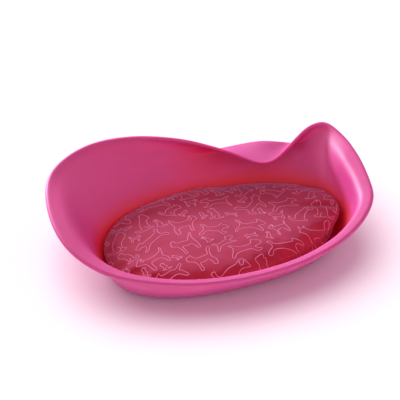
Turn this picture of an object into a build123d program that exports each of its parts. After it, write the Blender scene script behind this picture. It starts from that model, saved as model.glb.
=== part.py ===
# Flexible moulded pet bed: an oval bowl with a flared rim, its back wall folded forward,
# holding a thin zipped cushion.  Millimetres.  +Z up, +X along the bowl, -Y is the low front.
from math import cos, sin, radians, copysign
import os

from build123d import *

# ---- driving dimensions -------------------------------------------------------------
FOOT_H = 3.0          # rubber pads under the base
WALL = 4.2            # moulded wall
FLOOR_Z = 8.0         # top of the bowl's floor
BEAD = 7.5            # depth of the turned edge round the rim
BASE_A, BASE_B, BASE_N = 243.0, 117.0, 2.25     # base outline: half length, half width, power
WAIST_A, WAIST_B, WAIST_N, WAIST_Z = 276.0, 166.0, 2.3, 64.0
RING_POINTS = 40      # points round each ring of the wall
TOE, SHOULDER = 7.0, 32.0    # how softly the lower wall leaves the base and meets the waist
FLARE_START = 0.9     # share of the lower wall's slope that the flare starts with

# Rim stations: bearing round the base, rim x, y, z, lean of the lip (0 flat outward,
# 90 upright, 180 folded flat inward), reach of the wall above the waist, reach of the lip.
RIM = [
    (6, 327, 80, 152, 8, 52, 54),
    (18, 318, 132, 160, 32, 52, 48),
    (27, 298, 163, 166, 70, 54, 42),
    (36, 266, 168, 158, 100, 62, 42),
    (46, 230, 156, 142, 138, 90, 64),
    (62, 140, 106, 131, 178, 122, 96),
    (77, 58, 163, 145, 150, 100, 72),
    (90, -10, 214, 155, 104, 70, 46),
    (106, -104, 255, 164, 68, 58, 42),
    (124, -198, 268, 165, 46, 52, 44),
    (140, -270, 246, 162, 32, 50, 48),
    (153, -324, 196, 159, 20, 48, 50),
    (168, -350, 116, 153, 6, 46, 52),
    (188, -349, 15, 137, -4, 40, 48),
    (208, -316, -60, 118, -8, 34, 42),
    (226, -254, -118, 104, -11, 28, 33),
    (247, -140, -168, 95, -12, 22, 27),
    (269, -15, -191, 95, -12, 20, 25),
    (290, 108, -187, 101, -12, 20, 26),
    (310, 218, -154, 114, -10, 28, 34),
    (330, 296, -88, 131, -4, 38, 42),
    (348, 321, -2, 142, 0, 44, 50),
]


def oval(a, b, power, bearing):
    c, s = cos(radians(bearing)), sin(radians(bearing))
    return (a * copysign(abs(c) ** (2 / power), c), b * copysign(abs(s) ** (2 / power), s))


def station(bearing):
    """Rim values at any bearing: a smooth curve through the stations."""
    q = bearing % 360
    n = len(RIM)
    k = max([i for i in range(n) if RIM[i][0] <= q], default=n - 1)
    row = [RIM[(k + j) % n] for j in (-1, 0, 1, 2)]
    at = [r[0] for r in row]
    for j in range(1, 4):
        while at[j] < at[j - 1]:
            at[j] += 360
    while q < at[1]:
        q += 360
    h = at[2] - at[1]
    t = (q - at[1]) / h
    out = []
    for c in range(1, 7):
        p0, p1, p2, p3 = (r[c] for r in row)
        m1 = h * (p2 - p0) / (at[2] - at[0])
        m2 = h * (p3 - p1) / (at[3] - at[1])
        out.append((2 * t**3 - 3 * t**2 + 1) * p1 + (t**3 - 2 * t**2 + t) * m1
                   + (3 * t**2 - 2 * t**3) * p2 + (t**3 - t**2) * m2)
    return out


def column(bearing):
    """Cubic wall line at one bearing: control points of the lower and the upper wall."""
    bx, by = oval(BASE_A, BASE_B, BASE_N, bearing)
    wx, wy = oval(WAIST_A, WAIST_B, WAIST_N, bearing)
    base, waist = Vector(bx, by, FOOT_H + WALL / 2), Vector(wx, wy, WAIST_Z)
    out = Vector(wx / WAIST_A**2, wy / WAIST_B**2, 0).normalized()
    slope = (waist - base).normalized()
    rise = (slope * FLARE_START + Vector(0, 0, 1 - FLARE_START)).normalized()
    x, y, z, lean, reach, lip_reach = station(bearing)
    lip = out * cos(radians(lean)) + Vector(0, 0, 1) * sin(radians(lean))
    rim = Vector(x, y, z)
    lower = [base, base + out * TOE, waist - rise * SHOULDER, waist]
    upper = [waist, waist + rise * reach, rim - lip * lip_reach, rim]
    return lower, upper


def bezier(p, t):
    return (p[0] * (1 - t)**3 + p[1] * 3 * (1 - t)**2 * t + p[2] * 3 * (1 - t) * t * t + p[3] * t**3)


# ring levels up the wall: which half of the wall line, and how far along it
LEVELS = [(0, 0.0), (0, 0.25), (0, 0.6), (1, 0.0), (1, 0.2), (1, 0.4), (1, 0.6), (1, 0.78), (1, 0.92), (1, 1.0)]


def mid_rings():
    bearings = [360 * i / RING_POINTS for i in range(RING_POINTS)]
    cols = [column(b) for b in bearings]
    rings = [[bezier(c[part], t) for c in cols] for part, t in LEVELS]
    return rings


def out_normals(rings):
    """Unit normals of the ring net, pointing to the outside of the bowl."""
    n = RING_POINTS
    nets = []
    for j, ring in enumerate(rings):
        lo, hi = rings[max(j - 1, 0)], rings[min(j + 1, len(rings) - 1)]
        row = []
        for i in range(n):
            along = ring[(i + 1) % n] - ring[(i - 1) % n]
            up = hi[i] - lo[i]
            row.append(along.cross(up).normalized())
        nets.append(row)
    return nets


def ring_wire(points):
    with BuildLine() as line:
        Spline(*points, periodic=True)
    return line.wire()


# ---- bowl ----------------------------------------------------------------------------
rings = mid_rings()
normals = out_normals(rings)
n = RING_POINTS


def offset_ring(j, out, along=0.0):
    pts = []
    for i in range(n):
        p = rings[j][i] + normals[j][i] * out
        if along:
            p = p + (rings[j][i] - rings[j - 1][i]).normalized() * along
        pts.append(p)
    return pts


def flat_ring(inset, z):
    return [Vector(*oval(BASE_A - inset, BASE_B - inset, BASE_N, 360 * i / n), z) for i in range(n)]


last = len(LEVELS) - 1
sections = [flat_ring(22, FLOOR_Z), flat_ring(13, FLOOR_Z + 0.15)]
sections += [offset_ring(j, -WALL / 2) for j in range(1, last + 1)]
sections += [
    offset_ring(last, 0.4, 2.0),
    offset_ring(last, BEAD * 0.55, 2.0),
    offset_ring(last, BEAD - WALL / 2, 0.2),
    offset_ring(last, BEAD * 0.5, -2.4),
    offset_ring(last, WALL / 2, -6.5),
]
sections += [offset_ring(j, WALL / 2) for j in range(last - 1, 0, -1)]
sections += [flat_ring(5, FOOT_H + 0.25), flat_ring(14, FOOT_H)]

shell_solid = Solid.make_loft([ring_wire(s) for s in sections], ruled=False)
with BuildPart() as bowl:
    add(shell_solid)
bowl.part.label = "bowl"


# ---- rubber pads -----------------------------------------------------------------------
FOOT_R = 15.0
FOOT_AT = [(0, 0), (-160, 55), (160, 55), (160, -55), (-160, -55)]
feet = []
for k, (fx, fy) in enumerate(FOOT_AT):
    with BuildPart() as foot:
        with BuildSketch(Plane.XY) as pad:
            with Locations((fx, fy)):
                Circle(FOOT_R - 1.0)
        with BuildSketch(Plane.XY.offset(FOOT_H)) as seat:
            with Locations((fx, fy)):
                Circle(FOOT_R)
        loft(sections=[pad.sketch, seat.sketch])
    foot.part.label = f"foot_{k + 1}"
    feet.append(foot)

# ---- cushion ---------------------------------------------------------------------------
CLOTH = 1.0           # cover fabric
LINING = 0.8          # inner casing
SEAM_Z = 60.0         # height of the knife edge
TOP_Z = 78.0          # crown of the cushion
UNDER_Z = 12.8        # flat underside
CROWN = [(SEAM_Z, 270, 159), (66, 253, 143), (71, 220, 113), (75, 164, 76), (TOP_Z, 72, 31)]
BELLY = [(UNDER_Z, 222, 98), (25, 241, 121), (41, 257, 141), (SEAM_Z, 270, 159)]
PAD_N, PAD_POINTS = 2.3, 28


def stack(levels, down=0.0):
    wires = []
    for z, a, b in levels:
        bearings = [360 * i / PAD_POINTS for i in range(PAD_POINTS)]
        pts = [Vector(*oval(a, b, PAD_N, q), z - down) for q in bearings]
        wires.append(ring_wire(pts))
    return Solid.make_loft(wires, ruled=False)


def half_space(z, up):
    h = 200
    return Pos(0, 0, z + (h / 2 if up else -h / 2)) * Box(900, 600, h)


crown, belly = stack(CROWN), stack(BELLY)


def crown_in(d):
    return stack(CROWN, down=d) & half_space(SEAM_Z, True)


def belly_in(d):
    return stack(BELLY, down=-d) & half_space(SEAM_Z, False)


PLY_GAP = 0.3         # air between two layers
DEPTHS = [CLOTH, CLOTH + PLY_GAP, CLOTH + PLY_GAP + LINING, CLOTH + 2 * PLY_GAP + LINING]
crown_1, crown_2, crown_3, crown_4 = (crown_in(d) for d in DEPTHS)
belly_1, belly_2, belly_3, belly_4 = (belly_in(d) for d in DEPTHS)

with BuildPart() as cover_top:
    add(crown)
    add(crown_1, mode=Mode.SUBTRACT)
cover_top.part.label = "cover_top"

# zip along the underside, between the two bottom panels
ZIP_Y, ZIP_L, ZIP_GAP = -38.0, 300.0, 11.0
TAPE_T, TAPE_W = 0.8, 12.0
TAPE_Z = UNDER_Z - TAPE_T
TOOTH_W, TOOTH_PITCH, TOOTH_T = 3.2, 5.0, 2.0

with BuildPart() as cover_bottom:
    add(belly)
    add(belly_1, mode=Mode.SUBTRACT)
    with BuildSketch(Plane.XY.offset(UNDER_Z - 1)) as zip_slot:
        with Locations((0, ZIP_Y)):
            Rectangle(ZIP_L + 16, ZIP_GAP)
    extrude(amount=4, mode=Mode.SUBTRACT)
cover_bottom.part.label = "cover_bottom"

with BuildPart() as inner_casing:
    add(crown_2)
    add(belly_2)
    add(crown_3, mode=Mode.SUBTRACT)
    add(belly_3, mode=Mode.SUBTRACT)
inner_casing.part.label = "inner_casing"

with BuildPart() as fibre_filling:
    add(crown_4)
    add(belly_4)
fibre_filling.part.label = "fibre_filling"


def tape(side):
    y = ZIP_Y + side * (0.4 + TAPE_W / 2)
    with BuildPart() as strip:
        with BuildSketch(Plane.XY.offset(TAPE_Z)):
            with Locations((0, y)):
                RectangleRounded(ZIP_L + 24, TAPE_W, 1.5)
        extrude(amount=TAPE_T)
    return strip


def teeth(side):
    count = int((ZIP_L - 30) / TOOTH_PITCH)
    z = TAPE_Z - TOOTH_T
    with BuildPart() as row:
        with BuildSketch(Plane.XY.offset(z)):
            with Locations((0, ZIP_Y + side * 2.6)):
                Rectangle(ZIP_L - 28, 1.6)
        extrude(amount=TOOTH_T)
        with BuildSketch(Plane.XY.offset(z)):
            with Locations((side * TOOTH_PITCH / 4, ZIP_Y + side * 0.4)):
                with GridLocations(TOOTH_PITCH, 1, count, 1):
                    Rectangle(TOOTH_PITCH / 2 - 0.5, TOOTH_W)
        extrude(amount=TOOTH_T)
    return row


zip_tape_front, zip_tape_back = tape(-1), tape(1)
zip_tape_front.part.label = "zip_tape_front"
zip_tape_back.part.label = "zip_tape_back"
zip_teeth_front, zip_teeth_back = teeth(-1), teeth(1)
zip_teeth_front.part.label = "zip_teeth_front"
zip_teeth_back.part.label = "zip_teeth_back"


def stop(x):
    with BuildPart() as clip:
        with BuildSketch(Plane.XY.offset(TAPE_Z - 1.6)):
            with Locations((x, ZIP_Y)):
                RectangleRounded(5, 7, 1)
        extrude(amount=1.6)
    return clip


zip_stop_left, zip_stop_right = stop(-ZIP_L / 2 - 2), stop(ZIP_L / 2 + 2)
zip_stop_left.part.label = "zip_stop_left"
zip_stop_right.part.label = "zip_stop_right"

# slider: a tray with two side walls that hug the closed teeth from below
SLIDER_X, SLIDER_L, SLIDER_W = 128.0, 13.0, 10.4
TRAY_Z, TRAY_T = 8.9, 0.7
SIDE_T, SIDE_L = 1.2, 7.6
PULL_Z, PULL_T = 8.35, 0.55
side_y = SLIDER_W / 2 - 0.7
with BuildPart() as zip_slider:
    with BuildSketch(Plane.XY.offset(TRAY_Z)):
        with Locations((SLIDER_X, ZIP_Y)):
            RectangleRounded(SLIDER_L, SLIDER_W, 2.5)
    extrude(amount=TRAY_T)
    with BuildSketch(Plane.XY.offset(TRAY_Z + TRAY_T)):
        with Locations((SLIDER_X, ZIP_Y - side_y), (SLIDER_X, ZIP_Y + side_y)):
            Rectangle(SIDE_L, SIDE_T)
    extrude(amount=TAPE_Z - 0.35 - TRAY_Z - TRAY_T)
zip_slider.part.label = "zip_slider"

with BuildPart() as zip_pull:
    with BuildSketch(Plane.XY.offset(PULL_Z)) as tab:
        with Locations((SLIDER_X + 9, ZIP_Y)):
            SlotOverall(24, 7)
        with Locations((SLIDER_X + 16, ZIP_Y)):
            SlotOverall(7, 3, mode=Mode.SUBTRACT)
    extrude(amount=PULL_T)
zip_pull.part.label = "zip_pull"

# blank care label, lying flat against the underside
LABEL_T = 0.5
with BuildPart() as care_label:
    with BuildSketch(Plane.XY.offset(UNDER_Z - LABEL_T)):
        with Locations((-150, 30)):
            RectangleRounded(24, 38, 1)
    extrude(amount=LABEL_T)
care_label.part.label = "care_label"

NODES = [bowl, *feet, cover_top, cover_bottom, inner_casing, fibre_filling,
         zip_tape_front, zip_tape_back, zip_teeth_front, zip_teeth_back,
         zip_stop_left, zip_stop_right, zip_slider, zip_pull, care_label]
if __name__ == "__main__":
    os.makedirs("parts", exist_ok=True)
    for node in NODES:
        export_step(node.part, f"parts/{node.part.label}.step")
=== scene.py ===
import bpy, bmesh, math, random
from math import cos, sin, radians, copysign, pi
from mathutils import Vector, Matrix, noise
from mathutils.bvhtree import BVHTree


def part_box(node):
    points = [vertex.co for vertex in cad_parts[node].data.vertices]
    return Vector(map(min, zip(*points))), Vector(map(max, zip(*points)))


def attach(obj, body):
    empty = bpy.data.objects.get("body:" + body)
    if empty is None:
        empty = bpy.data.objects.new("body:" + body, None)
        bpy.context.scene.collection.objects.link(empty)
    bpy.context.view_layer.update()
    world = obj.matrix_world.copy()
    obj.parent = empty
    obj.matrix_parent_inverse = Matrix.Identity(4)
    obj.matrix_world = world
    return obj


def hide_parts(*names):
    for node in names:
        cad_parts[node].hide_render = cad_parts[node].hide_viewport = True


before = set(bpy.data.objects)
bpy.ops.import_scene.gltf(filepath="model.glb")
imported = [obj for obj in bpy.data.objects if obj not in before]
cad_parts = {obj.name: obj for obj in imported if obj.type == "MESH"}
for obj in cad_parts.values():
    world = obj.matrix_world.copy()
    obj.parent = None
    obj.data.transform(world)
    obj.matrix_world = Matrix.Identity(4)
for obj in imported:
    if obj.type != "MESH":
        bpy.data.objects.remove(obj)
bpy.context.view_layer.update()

S = bpy.context.scene
S.view_settings.view_transform = "Standard"
S.view_settings.look = "None"
random.seed(7)
noise.seed_set(7)


# ---- camera --------------------------------------------------------------------------
VIEW_TURN, VIEW_RISE, VIEW_DISTANCE = radians(-20), radians(41), 2.0646
IMAGE_SIDE, SENSOR = 400, 36
FOCAL = 950.0                             # in steps of the image's side / 400
AIM_LEFT, AIM_UP = 24.8 / FOCAL, 52.5 / FOCAL


def add_camera():
    a, e = VIEW_TURN, VIEW_RISE
    back = Vector((sin(a) * cos(e), -cos(a) * cos(e), sin(e)))
    right = Vector((cos(a), sin(a), 0))
    up = back.cross(right)
    # the middle of the picture lies a little left of and above the bowl's base
    look = (-back - right * AIM_LEFT + up * AIM_UP).normalized()
    side = look.cross(up).normalized()
    tall = side.cross(look)
    cam = bpy.data.objects.new("camera", bpy.data.cameras.new("camera"))
    S.collection.objects.link(cam)
    m = Matrix((side, tall, -look)).transposed().to_4x4()
    m.translation = back * VIEW_DISTANCE
    cam.matrix_world = m
    cam.data.sensor_width = SENSOR
    cam.data.lens = FOCAL / IMAGE_SIDE * SENSOR
    cam.data.clip_end = 50
    S.camera = cam


add_camera()


# ---- material helpers ----------------------------------------------------------------
class Mat:
    """A short way to write node materials."""

    def __init__(self, name):
        self.m = bpy.data.materials.new(name)
        self.m.use_nodes = True
        self.t = self.m.node_tree
        self.bsdf = self.t.nodes["Principled BSDF"]
        self.out = self.t.nodes["Material Output"]

    def node(self, kind, **kw):
        n = self.t.nodes.new("ShaderNode" + kind)
        for k, v in kw.items():
            if k[0] == "_":
                n.inputs[k[1:]].default_value = v
            else:
                setattr(n, k, v)
        return n

    def link(self, a, b):
        self.t.links.new(a, b)

    def coords(self, scale=(1, 1, 1)):
        c = self.node("TexCoord")
        m = self.node("Mapping")
        m.inputs["Scale"].default_value = scale
        self.link(c.outputs["Object"], m.inputs["Vector"])
        return m.outputs["Vector"]

    def noise(self, vec, scale, detail=4, rough=0.5):
        n = self.node("TexNoise", _Scale=scale, _Detail=detail, _Roughness=rough)
        self.link(vec, n.inputs["Vector"])
        return n.outputs["Fac"]

    def ramp(self, fac, stops):
        r = self.node("ValToRGB")
        e = r.color_ramp.elements
        while len(e) < len(stops):
            e.new(0.5)
        for el, (p, c) in zip(e, stops):
            el.position = p
            el.color = (*c, 1) if len(c) == 3 else c
        self.link(fac, r.inputs["Fac"])
        return r.outputs["Color"]

    def maths(self, op, a, b=None, clamp=False):
        n = self.node("Math", operation=op, use_clamp=clamp)
        for i, v in enumerate((a, b)):
            if v is None:
                continue
            if isinstance(v, (int, float)):
                n.inputs[i].default_value = v
            else:
                self.link(v, n.inputs[i])
        return n.outputs[0]

    def range(self, v, a, b, c, d):
        n = self.node("MapRange")
        self.link(v, n.inputs["Value"])
        for k, x in zip(("From Min", "From Max", "To Min", "To Max"), (a, b, c, d)):
            n.inputs[k].default_value = x
        return n.outputs["Result"]

    def bump(self, height, strength, distance, below=None):
        n = self.node("Bump", _Strength=strength, _Distance=distance)
        self.link(height, n.inputs["Height"])
        if below is not None:
            self.link(below, n.inputs["Normal"])
        return n.outputs["Normal"]

    def set(self, **kw):
        for k, v in kw.items():
            self.bsdf.inputs[k.replace("_", " ")].default_value = v


# painted red bounce light from the cushion on the inner wall: between these heights, and round one
# place beside the fold
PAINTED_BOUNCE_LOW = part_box("cover_top")[0][2] - 0.004
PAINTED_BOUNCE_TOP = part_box("cover_top")[1][2] + 0.014
PAINTED_BOUNCE_COLOUR, PAINTED_BOUNCE_POWER, PAINTED_BOUNCE_GAIN = (0.66, 0.011, 0.050, 1), 1.3, 1.25
FOLD_PAINTED_BOUNCE_SPOT, FOLD_PAINTED_BOUNCE_REACH, FOLD_PAINTED_BOUNCE_SHARE = (0.02, 0.17, 0.122), 0.095, 0.6


def moulding():
    """Soft translucent plastic, with painted red bounce light from the cushion on the inner wall
    just above it.
    """
    m = Mat("moulding")
    v = m.coords()
    big = m.noise(v, 6, 3)
    fine = m.noise(v, 900, 3, 0.6)
    swirl = m.noise(m.coords((1, 1, 5)), 14, 4, 0.6)
    tone = m.maths("ADD", m.maths("MULTIPLY", big, 0.7), m.maths("MULTIPLY", swirl, 0.3))
    col = m.ramp(tone, [(0.30, (0.56, 0.052, 0.255)), (0.70, (0.62, 0.066, 0.290))])
    place = m.node("SeparateXYZ")
    m.link(v, place.inputs[0])
    # painted red bounce light: a band on the inner wall, full just above the cushion and fading out
    # higher up
    low = m.range(place.outputs[2], PAINTED_BOUNCE_TOP, PAINTED_BOUNCE_LOW, 0.0, 1.0)
    inward = m.node("VectorMath", operation="DOT_PRODUCT")
    m.link(m.node("NewGeometry").outputs["Normal"], inward.inputs[0])
    m.link(v, inward.inputs[1])
    inner = m.range(inward.outputs["Value"], 0.02, -0.02, 0.0, 1.0)
    # painted red reflection from the cushion, round one spot of the inner wall beside the fold
    apart = m.node("VectorMath", operation="DISTANCE")
    m.link(v, apart.inputs[0])
    apart.inputs[1].default_value = FOLD_PAINTED_BOUNCE_SPOT
    painted_fold_spot = m.range(apart.outputs["Value"], FOLD_PAINTED_BOUNCE_REACH, 0.0, 0.0, FOLD_PAINTED_BOUNCE_SHARE)
    painted_bounce_band = m.maths("MULTIPLY", m.maths("POWER", low, PAINTED_BOUNCE_POWER), PAINTED_BOUNCE_GAIN, clamp=True)
    share = m.maths("MULTIPLY", m.maths("MAXIMUM", painted_bounce_band, painted_fold_spot), inner)
    # the painted red bounce light is mixed into the plastic's colour here
    painted_bounce = m.node("Mix", data_type="RGBA")
    m.link(share, painted_bounce.inputs[0])
    m.link(col, painted_bounce.inputs[6])
    painted_bounce.inputs[7].default_value = PAINTED_BOUNCE_COLOUR
    m.link(painted_bounce.outputs[2], m.bsdf.inputs["Base Color"])
    grain = m.maths("ADD", m.maths("MULTIPLY", fine, 0.5), m.maths("MULTIPLY", big, 0.5))
    m.link(m.range(grain, 0.3, 0.7, 0.47, 0.57), m.bsdf.inputs["Roughness"])
    b = m.bump(big, 0.15, 0.004)
    m.link(m.bump(fine, 0.25, 0.0003, b), m.bsdf.inputs["Normal"])
    m.set(Subsurface_Weight=1.0, Subsurface_Radius=(1.0, 0.25, 0.65), Subsurface_Scale=0.009)
    m.set(Specular_IOR_Level=0.9)
    return m.m


def rubber():
    m = Mat("rubber")
    v = m.coords()
    col = m.ramp(m.noise(v, 60, 4), [(0.3, (0.16, 0.012, 0.05)), (0.7, (0.22, 0.02, 0.07))])
    m.link(col, m.bsdf.inputs["Base Color"])
    m.link(m.bump(m.noise(v, 1500, 2), 0.4, 0.0003), m.bsdf.inputs["Normal"])
    m.link(m.range(m.noise(v, 300, 2), 0, 1, 0.65, 0.85), m.bsdf.inputs["Roughness"])
    return m.m


def cloth(name, dark, light, weave=1400.0, sheen=0.35, tint=(1.0, 0.55, 0.75, 1)):
    m = Mat(name)
    v = m.coords((1, 1, 1))
    sep = m.node("SeparateXYZ")
    m.link(v, sep.inputs[0])
    wx = m.maths("SINE", m.maths("MULTIPLY", sep.outputs[0], weave * 2))
    wy = m.maths("SINE", m.maths("MULTIPLY", sep.outputs[1], weave * 2))
    weft = m.maths("MULTIPLY", wx, wy)
    slub = m.noise(m.coords((1, 12, 1)), 160, 3)
    mot = m.noise(v, 18, 4)
    tone = m.maths("ADD", m.maths("MULTIPLY", mot, 0.7), m.maths("MULTIPLY", slub, 0.3))
    col = m.ramp(tone, [(0.3, dark), (0.7, light)])
    m.link(col, m.bsdf.inputs["Base Color"])
    b = m.bump(weft, 0.35, 0.0002)
    b = m.bump(slub, 0.25, 0.0003, b)
    m.link(b, m.bsdf.inputs["Normal"])
    m.link(m.range(slub, 0, 1, 0.72, 0.92), m.bsdf.inputs["Roughness"])
    m.set(Sheen_Weight=sheen, Sheen_Roughness=0.55, Sheen_Tint=tint, Specular_IOR_Level=0.25)
    return m.m


def plastic_teeth():
    m = Mat("teeth")
    v = m.coords()
    col = m.ramp(m.noise(v, 300, 3), [(0.3, (0.42, 0.02, 0.09)), (0.7, (0.50, 0.03, 0.12))])
    m.link(col, m.bsdf.inputs["Base Color"])
    m.link(m.range(m.noise(v, 900, 2), 0, 1, 0.3, 0.5), m.bsdf.inputs["Roughness"])
    m.link(m.bump(m.noise(v, 2500, 2), 0.2, 0.0001), m.bsdf.inputs["Normal"])
    return m.m


def zip_metal():
    m = Mat("zip_metal")
    v = m.coords((1, 8, 1))
    wear = m.noise(v, 420, 4, 0.6)
    col = m.ramp(wear, [(0.3, (0.50, 0.49, 0.48)), (0.7, (0.68, 0.67, 0.65))])
    m.link(col, m.bsdf.inputs["Base Color"])
    m.link(m.range(wear, 0, 1, 0.22, 0.45), m.bsdf.inputs["Roughness"])
    m.link(m.bump(wear, 0.2, 0.0001), m.bsdf.inputs["Normal"])
    m.set(Metallic=1.0)
    return m.m


def assign(obj, mat):
    obj.data.materials.clear()
    obj.data.materials.append(mat)


PINK_SHEEN, NO_TINT = (0.70, 0.60, 1.0, 1), (1, 1, 1, 1)
PRINT_GROUND = cloth("print_ground", (0.40, 0.008, 0.024), (0.50, 0.014, 0.038),
                     sheen=0.55, tint=PINK_SHEEN)
PLAIN = cloth("plain_cloth", (0.48, 0.012, 0.050), (0.56, 0.02, 0.07))
INK = cloth("ink", (0.80, 0.20, 0.32), (0.88, 0.28, 0.40), sheen=0.5, tint=PINK_SHEEN)
# the first of these that a node's name starts with is its finish; the rest are plain cloth
FINISHES = {
    "bowl": moulding(),
    "foot": rubber(),
    "zip_tape": cloth("zip_tape", (0.40, 0.015, 0.055), (0.48, 0.02, 0.075),
                      weave=2200, sheen=0.2),
    "zip_teeth": plastic_teeth(),
    "zip": zip_metal(),
    "care_label": cloth("label", (0.78, 0.77, 0.74), (0.86, 0.85, 0.83),
                        weave=2600, sheen=0.1, tint=NO_TINT),
}

for name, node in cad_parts.items():
    assign(node, next((m for start, m in FINISHES.items() if name.startswith(start)), PLAIN))
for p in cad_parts["bowl"].data.polygons:
    p.use_smooth = True

# ---- cushion -------------------------------------------------------------------------
SEAM_Z, CROWN_Z, UNDER_Z = 0.060, 0.0775, 0.0130
HALF_L, HALF_W, POWER = 0.2700, 0.1590, 2.3


def oval(a, b, t):
    """The point at this bearing of a rounded oval with half axes a and b."""
    c, s = cos(t), sin(t)
    return a * copysign(abs(c) ** (2 / POWER), c), b * copysign(abs(s) ** (2 / POWER), s)


def rho(x, y):
    """How far out a place is: 0 at the cushion's middle, 1 at its edge."""
    return (abs(x / HALF_L) ** POWER + abs(y / HALF_W) ** POWER) ** (1 / POWER)


def new_mesh(name, bm, body, mat):
    me = bpy.data.meshes.new(name)
    bm.normal_update()
    bm.to_mesh(me)
    bm.free()
    o = bpy.data.objects.new(name, me)
    S.collection.objects.link(o)
    for p in me.polygons:
        p.use_smooth = True
    assign(o, mat)
    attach(o, body)
    return o


PAD_RINGS, PAD_SIDES = 34, 160
CROWN_ROOM, UNDER_ROOM = 0.004, 0.0015    # left for the cloth run to fill
FLAT_SHARE = 0.72                         # of the way out, where the underside turns up


def pad_start(shrink):
    """Two panels meeting in a knife edge: a shallow crown over a dish-shaped belly."""
    bm = bmesh.new()
    rings, seg = PAD_RINGS, PAD_SIDES
    a, b = HALF_L - shrink, HALF_W - shrink
    levels = [i / rings for i in range(1, rings + 1)]

    def top(r):
        return SEAM_Z + (CROWN_Z - CROWN_ROOM - SEAM_Z) * (1 - r ** 3.2) ** 0.8

    def under(r):
        k = max(0.0, (r - FLAT_SHARE) / 0.28)
        return UNDER_Z + UNDER_ROOM + (SEAM_Z - UNDER_Z - UNDER_ROOM) * k ** 1.35

    def ring(r, z):
        out = []
        for j in range(seg):
            x, y = oval(a * r, b * r, 2 * pi * j / seg)
            out.append(bm.verts.new((x, y, z)))
        return out

    ups = [ring(r, top(r)) for r in levels]
    dns = [ring(r, under(r)) for r in levels[:-1]] + [ups[-1]]
    for rows, flip in ((ups, False), (dns, True)):
        c = bm.verts.new((0, 0, top(0) if not flip else under(0)))
        for j in range(seg):
            k = (j + 1) % seg
            f = (c, rows[0][j], rows[0][k])
            bm.faces.new(f[::-1] if flip else f)
            for i in range(rings - 1):
                q = (rows[i][j], rows[i + 1][j], rows[i + 1][k], rows[i][k])
                bm.faces.new(q[::-1] if flip else q)
    return bm


def inflate(obj, voxel, pressure, cap, frames=20):
    """Voxel remesh, a short pressure cloth run, each point's movement capped, result applied."""
    start_mod = obj.modifiers.new("remesh", "REMESH")
    start_mod.mode = "VOXEL"
    start_mod.voxel_size = voxel
    bpy.context.view_layer.objects.active = obj
    bpy.ops.object.modifier_apply(modifier="remesh")
    rest = [v.co.copy() for v in obj.data.vertices]
    cl = obj.modifiers.new("cloth", "CLOTH")
    st = cl.settings
    st.quality = 6
    st.mass = 0.25
    st.tension_stiffness = st.compression_stiffness = 18
    st.shear_stiffness = 8
    st.bending_stiffness = 0.6
    st.use_pressure = True
    st.uniform_pressure_force = pressure
    st.effector_weights.gravity = 0
    cl.collision_settings.use_collision = False
    cl.point_cache.frame_start, cl.point_cache.frame_end = 1, frames
    S.frame_start, S.frame_end = 1, frames
    for f in range(1, frames + 1):
        S.frame_set(f)
    dg = bpy.context.evaluated_depsgraph_get()
    moved = [v.co.copy() for v in obj.evaluated_get(dg).data.vertices]
    obj.modifiers.remove(cl)
    S.frame_set(1)
    for v, a, b in zip(obj.data.vertices, rest, moved):
        d = b - a
        if d.length > cap:
            d = d.normalized() * cap
        v.co = a + d


def smooth_step(a, b, v):
    t = max(0.0, min(1.0, (v - a) / (b - a)))
    return t * t * (3 - 2 * t)


EDGE_CLIMB, EDGE_SPREAD = 0.010, 0.010    # up and out, at the back and the right end
EDGE_SINK, EDGE_PULL = 0.004, 0.15        # down and in, at the front right
PUCKER, PUCKER_TURN = 0.0040, radians(48)
SLACK, LUMP = 0.0022, 0.0008
CREASE_Y, CREASE_X, CREASE_SLOPE, CREASE_DEPTH = -0.004, 0.225, -0.22, 0.0050
EDGE_START = 0.985


def soft_bump(distance, width):
    return math.exp(-(distance / width) ** 2)


def crease(x, y):
    """A crease across the right end, with a soft ridge on each side of it."""
    d = (y - CREASE_Y) - (x - CREASE_X) * CREASE_SLOPE
    along = max(0.0, min(1.0, (x - 0.165) / 0.05))
    return (-CREASE_DEPTH * along * soft_bump(d, 0.006)
            + 0.0022 * along * soft_bump(d - 0.013, 0.009)
            + 0.0026 * along * soft_bump(d + 0.014, 0.010))


def climb_share(x, y):
    """How far the edge climbs the wall: at the back and the right end, but not under the flap."""
    climb = max(smooth_step(0.15, 0.9, y / HALF_W), smooth_step(0.72, 1.0, x / HALF_L))
    flap = smooth_step(0.0, 0.05, x) * smooth_step(0.26, 0.21, x) * smooth_step(0.03, 0.08, y)
    return climb * (1 - 0.95 * flap)


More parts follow.
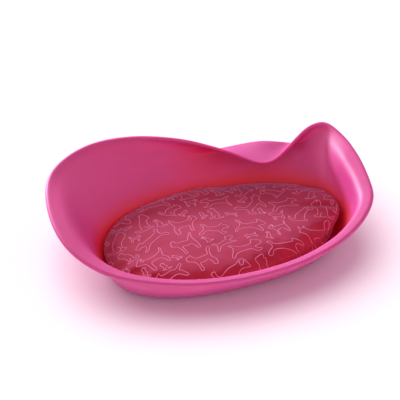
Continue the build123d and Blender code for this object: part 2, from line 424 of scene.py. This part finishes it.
def shape_cushion(obj):
    """Gathers at the seam, lumps of filling, the crease, and the lie of the edge."""
    for v in obj.data.vertices:
        x, y, z = v.co
        r = rho(x, y)
        ang = math.atan2(y / HALF_W, x / HALF_L)
        s = ang * 0.21
        near = math.exp(-max(0.0, 1 - r) * 10.0)
        up = 1.0 if z > SEAM_Z - 0.001 else -0.6
        # gathers that run in from the seam, stronger at the front right
        strong = 0.55 + 1.1 * max(0.0, cos(ang + PUCKER_TURN)) ** 2
        broad = noise.noise(Vector((s * 62, 0.3 * up, 3.1)))
        fine = noise.noise(Vector((s * 131, 1.7 * up, 9.0)))
        dz = up * PUCKER * strong * near * (broad + 0.6 * fine)
        # a slack wave inside the edge and small soft lumps of filling
        dz += SLACK * noise.noise(Vector((x * 13, y * 16, 1.0))) * (1 - near)
        dz += LUMP * noise.noise(Vector((x * 45, y * 45, 5.0))) * (1 - near)
        if z > SEAM_Z:
            dz += crease(x, y)
        climb = climb_share(x, y)
        sink = max(0.0, cos((ang + radians(50)) * 1.9)) ** 1.5 if -1.7 < ang < -0.04 else 0.0
        share = smooth_step(UNDER_Z + 0.012, SEAM_Z - 0.006, z) * smooth_step(0.45, 1.0, r)
        dz += share * (EDGE_CLIMB * climb * (1 - sink) - EDGE_SINK * sink)
        k = 1.0 + share * (EDGE_SPREAD * climb * (1 - sink) - EDGE_PULL * sink)
        if r > EDGE_START:
            k *= EDGE_START / r + (1 - EDGE_START / r) * 0.6
        v.co = (x * k, y * k, min(max(z + dz, UNDER_Z), CROWN_Z + 0.004))


def apply_modifier(obj, kind, **kw):
    m = obj.modifiers.new("m", kind)
    for k, v in kw.items():
        setattr(m, k, v)
    bpy.context.view_layer.objects.active = obj
    bpy.ops.object.modifier_apply(modifier="m")


def make_cushion():
    o = new_mesh("cushion_cover", pad_start(0.001), "cushion", PRINT_GROUND)
    inflate(o, voxel=0.0055, pressure=3.0, cap=0.006)
    apply_modifier(o, "SMOOTH", factor=0.5, iterations=3)
    shape_cushion(o)
    apply_modifier(o, "SUBSURF", levels=1)
    for p in o.data.polygons:
        p.use_smooth = True
    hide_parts("cover_top", "cover_bottom", "inner_casing", "fibre_filling")
    return o


def surface_of(obj):
    bm = bmesh.new()
    bm.from_mesh(obj.data)
    tree = BVHTree.FromBMesh(bm)
    bm.free()
    return tree


cushion = make_cushion()
CUSHION_TREE = surface_of(cushion)


def on_cushion(x, y):
    """The place on the cushion's top at x, y, and its normal."""
    return CUSHION_TREE.ray_cast(Vector((x, y, 0.2)), Vector((0, 0, -1)))[:2]


# ---- welt and stitches -----------------------------------------------------------------
SEAM_R, SEAM_STEPS, SEAM_SMOOTHING = 0.0013, 720, 6
STITCH_R, STITCH_INSET, STITCH_LIFT = 0.00035, 0.006, 0.0001
BINS = 180                                # bearings round the cushion's edge


def tube(bm, path, radius, sides=8, closed=True):
    """A tube of mesh along a path of points."""
    n = len(path)
    rows = []
    for i in range(n):
        a = path[(i - 1) % n if closed else max(i - 1, 0)]
        b = path[(i + 1) % n if closed else min(i + 1, n - 1)]
        d = (b - a).normalized()
        side = d.cross(Vector((0, 0, 1))).normalized()
        up = side.cross(d)
        turns = [2 * pi * k / sides for k in range(sides)]
        rows.append([bm.verts.new(path[i] + (side * cos(t) + up * sin(t)) * radius) for t in turns])
    for i in range(n if closed else n - 1):
        r0, r1 = rows[i], rows[(i + 1) % n]
        for k in range(sides):
            bm.faces.new((r0[k], r0[(k + 1) % sides], r1[(k + 1) % sides], r1[k]))
    if not closed:
        bm.faces.new(rows[0][::-1])
        bm.faces.new(rows[-1])


def edge_path():
    """The cushion's outermost points, one per bearing, smoothed and filled in between."""
    bins = [[] for _ in range(BINS)]
    for v in cushion.data.vertices:
        x, y, z = v.co
        if rho(x, y) > 0.6 and z > 0.035:
            turn = math.atan2(y / HALF_W, x / HALF_L) % (2 * pi)
            bins[int(turn / (2 * pi) * BINS) % BINS].append(v.co)
    rim = [max(points, key=lambda c: rho(c.x, c.y)).copy() for points in bins]
    for _ in range(SEAM_SMOOTHING):
        rim = [(rim[i - 1] + rim[i] * 2 + rim[(i + 1) % BINS]) / 4 for i in range(BINS)]
    path = []
    for i in range(BINS):
        for q in range(SEAM_STEPS // BINS):
            path.append(rim[i].lerp(rim[(i + 1) % BINS], q * BINS / SEAM_STEPS))
    return path


def make_seam():
    """A narrow welt where the two panels are sewn together, and a row of stitches beside it."""
    path = edge_path()
    bm = bmesh.new()
    tube(bm, path, SEAM_R)
    welt = new_mesh("cushion_seam", bm, "cushion", SEAM_CLOTH)
    bm = bmesh.new()
    for i in range(0, len(path), 2):
        row = []
        for q in (0.15, 0.5, 0.85):
            p = path[i].lerp(path[(i + 1) % len(path)], q)
            k = 1 - STITCH_INSET / p.xy.length
            hit = on_cushion(p.x * k, p.y * k)[0]
            if hit:
                row.append(hit + Vector((0, 0, STITCH_LIFT)))
        if len(row) == 3:
            tube(bm, row, STITCH_R, 6, closed=False)
    stitches = new_mesh("cushion_stitches", bm, "cushion", INK)
    return welt, stitches


SEAM_CLOTH = cloth("seam", (0.40, 0.008, 0.026), (0.48, 0.012, 0.036),
                   weave=2600, sheen=0.7, tint=PINK_SHEEN)
seam_pieces = make_seam()

# ---- line print on the cushion: plain animal outlines ----------------------------------
# each figure is a closed outline and then open strokes, in hundredths of its length
FIGURES = {
    "cat_walk": [
        [(88, 68), (85, 76), (84, 86), (78, 80), (72, 86), (70, 76), (62, 69), (48, 66),
         (34, 66), (25, 71), (17, 84), (10, 93), (5, 90), (11, 76), (17, 62), (18, 50),
         (13, 36), (16, 20), (24, 20), (25, 34), (32, 46), (46, 45), (59, 46), (61, 34),
         (60, 20), (68, 20), (70, 36), (73, 52), (80, 60), (87, 63)],
    ],
    "dog_stand": [
        [(94, 70), (86, 77), (78, 84), (71, 82), (66, 70), (44, 66), (26, 66), (17, 73),
         (8, 86), (5, 81), (13, 64), (16, 50), (12, 34), (14, 14), (22, 14), (24, 32), (34, 44),
         (54, 44), (62, 40), (62, 14), (70, 14), (72, 40), (77, 55), (85, 61), (93, 64)],
        [(72, 81), (76, 72), (73, 64), (68, 68)],
    ],
    "cat_sit": [
        [(60, 90), (56, 81), (50, 87), (47, 75), (43, 64), (33, 50), (27, 35), (28, 22),
         (17, 17), (9, 25), (4, 21), (11, 11), (30, 9), (50, 9), (66, 9), (67, 15), (58, 18),
         (58, 40), (63, 54), (71, 61), (75, 70), (68, 79)],
        [(50, 10), (49, 22), (43, 30)],
    ],
    "dog_run": [
        [(96, 64), (89, 72), (80, 76), (73, 80), (70, 70), (58, 67), (40, 66), (26, 68),
         (13, 81), (6, 79), (16, 64), (14, 53), (4, 40), (2, 30), (9, 29), (17, 40), (30, 47),
         (50, 46), (62, 44), (75, 33), (87, 31), (88, 37), (78, 42), (75, 52), (84, 57),
         (94, 58)],
    ],
    "dog_sit": [
        [(84, 78), (75, 86), (64, 88), (58, 80), (52, 66), (40, 48), (32, 30), (30, 18),
         (18, 16), (10, 24), (6, 18), (14, 8), (34, 7), (52, 8), (70, 8), (71, 14), (62, 16),
         (62, 38), (67, 54), (74, 64), (85, 70)],
        [(66, 86), (70, 74), (65, 68), (60, 76)],
    ],
}
LINE_WIDTH, LINE_STEP, SHORTEST_RUN = 0.0017, 0.0022, 7
LINE_EDGE, LINE_TOP, LINE_ROOT = 0.00012, 0.00042, 0.0006
WOBBLE = 0.06
PRINT_EDGE, STEEPEST = 0.985, 0.35
PRINT_CELL, PRINT_TRIES = 0.0030, 9000
# the figures' length up to each try: large ones first, small ones in the gaps
PRINT_SIZES = ((700, 0.068), (2600, 0.050), (5500, 0.034), (PRINT_TRIES, 0.024))


def smooth_path(pts, closed):
    """A smooth curve through the points, as short steps."""
    n = len(pts)
    out = []
    for i in range(n if closed else n - 1):
        p = [pts[(i + j) % n] if closed else pts[min(max(i + j, 0), n - 1)] for j in (-1, 0, 1, 2)]
        k = max(2, int(math.dist(p[1], p[2]) / LINE_STEP))
        for q in range(k):
            t = q / k
            out.append(tuple(0.5 * (2 * b + (c - a) * t + (2 * a - 5 * b + 4 * c - d) * t * t
                                    + (3 * b - a - 3 * c + d) * t ** 3) for a, b, c, d in zip(*p)))
    if not closed:
        out.append(pts[-1])
    return out


def print_line(bm, path, closed):
    """A thin raised ribbon that follows the cushion's surface."""
    rows = []
    n = len(path)
    hits = [on_cushion(x, y) for x, y in path]
    for i in range(n):
        p, nor = hits[i]
        a = hits[(i - 1) % n if closed else max(i - 1, 0)][0]
        b = hits[(i + 1) % n if closed else min(i + 1, n - 1)][0]
        d = b - a
        if d.length < 1e-6:
            d = Vector((1, 0, 0))
        side = nor.cross(d.normalized()).normalized() * LINE_WIDTH / 2
        section = (p - side + nor * LINE_EDGE, p + nor * LINE_TOP,
                   p + side + nor * LINE_EDGE, p - nor * LINE_ROOT)
        rows.append([bm.verts.new(v) for v in section])
    for i in range(n if closed else n - 1):
        r0, r1 = rows[i], rows[(i + 1) % n]
        for k in range(4):
            bm.faces.new((r0[k], r1[k], r1[(k + 1) % 4], r0[(k + 1) % 4]))
    if not closed:
        bm.faces.new(rows[0])
        bm.faces.new(rows[-1][::-1])


def placed(kind, cx, cy, size, turn, flip, long):
    """A figure's strokes on the cushion, each with a hand-drawn wobble."""
    out = []
    for i, st in enumerate(FIGURES[kind]):
        pts = []
        for px, py in st:
            u, v = (px - 50) / 100 * size * flip * long, (py - 48) / 100 * size
            spot = Vector((cx * 90 + px * 0.07, cy * 90 + py * 0.07, 4.0))
            u += noise.noise(spot) * size * WOBBLE
            v += noise.noise(spot + Vector((0, 0, 9))) * size * WOBBLE
            pts.append((cx + u * cos(turn) - v * sin(turn), cy + u * sin(turn) + v * cos(turn)))
        out.append((smooth_path(pts, i == 0), i == 0))
    return out


def printable(path, closed):
    """The stretches of a stroke that lie on the top panel."""
    keep = []
    for x, y in path:
        hit, nor = on_cushion(x, y)
        keep.append(hit is not None and nor.z > STEEPEST and rho(x, y) < PRINT_EDGE)
    if all(keep):
        return [(path, closed)]
    if not any(keep):
        return []
    n = len(path)
    first = keep.index(False)
    runs, run = [], []
    for k in range(1, n + 1):
        i = (first + k) % n
        if keep[i] and (closed or i > 0):
            run.append(path[i])
        else:
            runs.append(run)
            run = []
    runs.append(run)
    return [(r, False) for r in runs if len(r) > SHORTEST_RUN]


def cells(strokes, grow):
    """The squares of a fine grid that the strokes touch, and their neighbours."""
    out = set()
    for path, _ in strokes:
        for x, y in path:
            i, j = round(x / PRINT_CELL), round(y / PRINT_CELL)
            out.update((i + a, j + b) for a in range(-grow, grow + 1)
                       for b in range(-grow, grow + 1))
    return out


def make_print():
    """Figures set down one by one where they touch no other, and cut off at the seam."""
    rnd = random.Random(23)
    bm = bmesh.new()
    taken = set()
    kinds = list(FIGURES)
    for attempt in range(PRINT_TRIES):
        kind = kinds[rnd.randrange(len(kinds))]
        size = next(s for until, s in PRINT_SIZES if attempt < until) * rnd.uniform(0.92, 1.1)
        cx, cy = rnd.uniform(-0.27, 0.27), rnd.uniform(-0.16, 0.16)
        if rho(cx, cy) > 1.0:
            continue
        turn = radians(rnd.uniform(-35, 35))
        flip, long = rnd.choice((-1, 1)), rnd.uniform(0.95, 1.35)
        strokes = placed(kind, cx, cy, size, turn, flip, long)
        if cells(strokes, 0) & taken:
            continue
        taken |= cells(strokes, 1)
        for path, closed in strokes:
            for run, whole in printable(path, closed):
                print_line(bm, run, whole)
    return new_mesh("cushion_print", bm, "cushion", INK)


cushion_print = make_print()

# ---- stage ---------------------------------------------------------------------------
AMBIENT = (0.68, 0.45, 0.57, 1)
MIDDLE = (0, 0, 0.08)


def add_stage():
    me = bpy.data.meshes.new("floor")
    bm = bmesh.new()
    bmesh.ops.create_grid(bm, x_segments=2, y_segments=2, size=30)
    bm.to_mesh(me)
    bm.free()
    fl = bpy.data.objects.new("floor", me)
    S.collection.objects.link(fl)
    fl.location = (0, 0, -0.0004)
    m = Mat("floor")
    col = m.ramp(m.noise(m.coords(), 3, 2), [(0.3, (0.93, 0.93, 0.93)), (0.7, (0.95, 0.95, 0.95))])
    m.link(col, m.bsdf.inputs["Base Color"])
    m.set(Roughness=0.9, Specular_IOR_Level=0.1)
    me.materials.append(m.m)
    add_world()
    return fl


def add_world():
    w = bpy.data.worlds.new("world")
    S.world = w
    w.use_nodes = True
    t = w.node_tree
    bg = t.nodes["Background"]
    # the room's light is pinkish where it reaches the object; the backdrop itself is white
    seen = t.nodes.new("ShaderNodeLightPath")
    tone = t.nodes.new("ShaderNodeMix")
    tone.data_type = "RGBA"
    tone.inputs[6].default_value = AMBIENT
    tone.inputs[7].default_value = (1, 1, 1, 1)
    t.links.new(seen.outputs["Is Camera Ray"], tone.inputs[0])
    t.links.new(tone.outputs[2], bg.inputs[0])


def area(name, at, aim, size, power, colour=(1, 1, 1)):
    l = bpy.data.lights.new(name, "AREA")
    l.shape = "RECTANGLE"
    l.size, l.size_y = size
    l.energy = power
    l.color = colour
    o = bpy.data.objects.new(name, l)
    S.collection.objects.link(o)
    o.location = at
    o.rotation_mode = "QUATERNION"
    o.rotation_quaternion = (Vector(aim) - Vector(at)).to_track_quat("-Z", "Y")
    return o


def overhead(name, come_from, strength, spread):
    light = bpy.data.lights.new(name, "SUN")
    light.energy = strength
    light.angle = radians(spread)
    o = bpy.data.objects.new(name, light)
    S.collection.objects.link(o)
    o.location = Vector(come_from) * 3
    o.rotation_mode = "QUATERNION"
    o.rotation_quaternion = (-Vector(come_from)).to_track_quat("-Z", "Y")
    return o


def link_light(light, state, things):
    """The light reaches these things only (INCLUDE), or everything but them (EXCLUDE)."""
    group = bpy.data.collections.new(light.name + "_receivers")
    for thing in things:
        group.objects.link(thing)
    for entry in group.collection_objects:
        entry.light_linking.link_state = state
    light.light_linking.receiver_collection = group


floor = add_stage()
# a low strip behind throws the back wall's shadow over the cushion, a wide box above it lies
# in the rim's mirror direction, and a broad light from straight above keeps the floor pale
key = area("key", at=(-1.25, 2.75, 1.24), aim=MIDDLE, size=(1.0, 0.4), power=130,
           colour=(0.86, 0.80, 1.0))
box = area("softbox", at=(-1.2, 2.5, 2.5), aim=MIDDLE, size=(6.0, 0.8), power=52)
wash = overhead("floor_wash", come_from=(-0.22, 0.34, 1.0), strength=2.25, spread=62)
link_light(key, "EXCLUDE", [floor])
link_light(box, "EXCLUDE", [floor, cushion, cushion_print, *seam_pieces])
link_light(wash, "INCLUDE", [floor])
